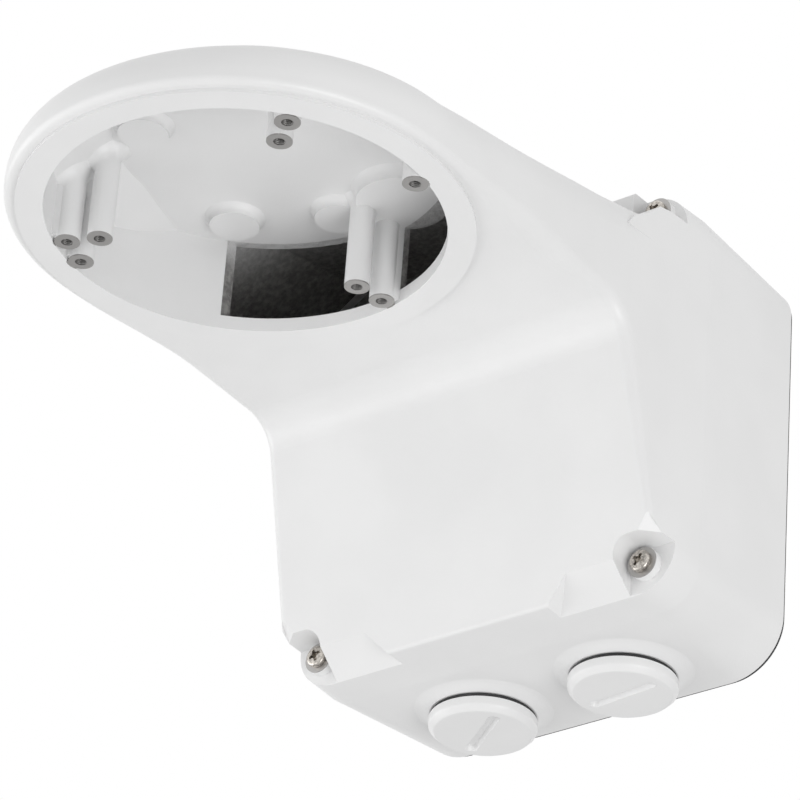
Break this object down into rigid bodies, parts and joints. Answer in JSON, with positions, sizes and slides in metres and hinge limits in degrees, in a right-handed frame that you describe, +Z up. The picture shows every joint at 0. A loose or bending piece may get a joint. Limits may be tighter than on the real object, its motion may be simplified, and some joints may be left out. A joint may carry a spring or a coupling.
{
  "type": "camera wall mount bracket",
  "caption": "Die-cast bracket with a round downward flange, a hollow arm and a square junction box with two slotted blanking plugs.",
  "frame": {"origin": "centre of the four wall screw holes, on the face of the gasket that presses on the wall", "axes": "+Y into the wall, +Z up, +X to the right as seen from the front; the flange faces down"},
  "size_m": [0.163, 0.2979, 0.1689],
  "materials": {
    "white_paint": "satin powder coat, white",
    "rubber": "matt black",
    "screw_steel": "nickel plated"
  },
  "bodies": {
    "root": {"arm_casting": "white_paint", "junction_box": "white_paint", "box_seal": "rubber", "wall_gasket": "rubber", "cover_screw_low_left": "screw_steel", "cover_screw_low_right": "screw_steel", "cover_screw_high_left": "screw_steel", "cover_screw_high_right": "screw_steel", "blanking_plug_left": "white_paint", "blanking_plug_right": "white_paint", "plug_ring_left": "rubber", "plug_ring_right": "rubber"}
  },
  "joints": []
}
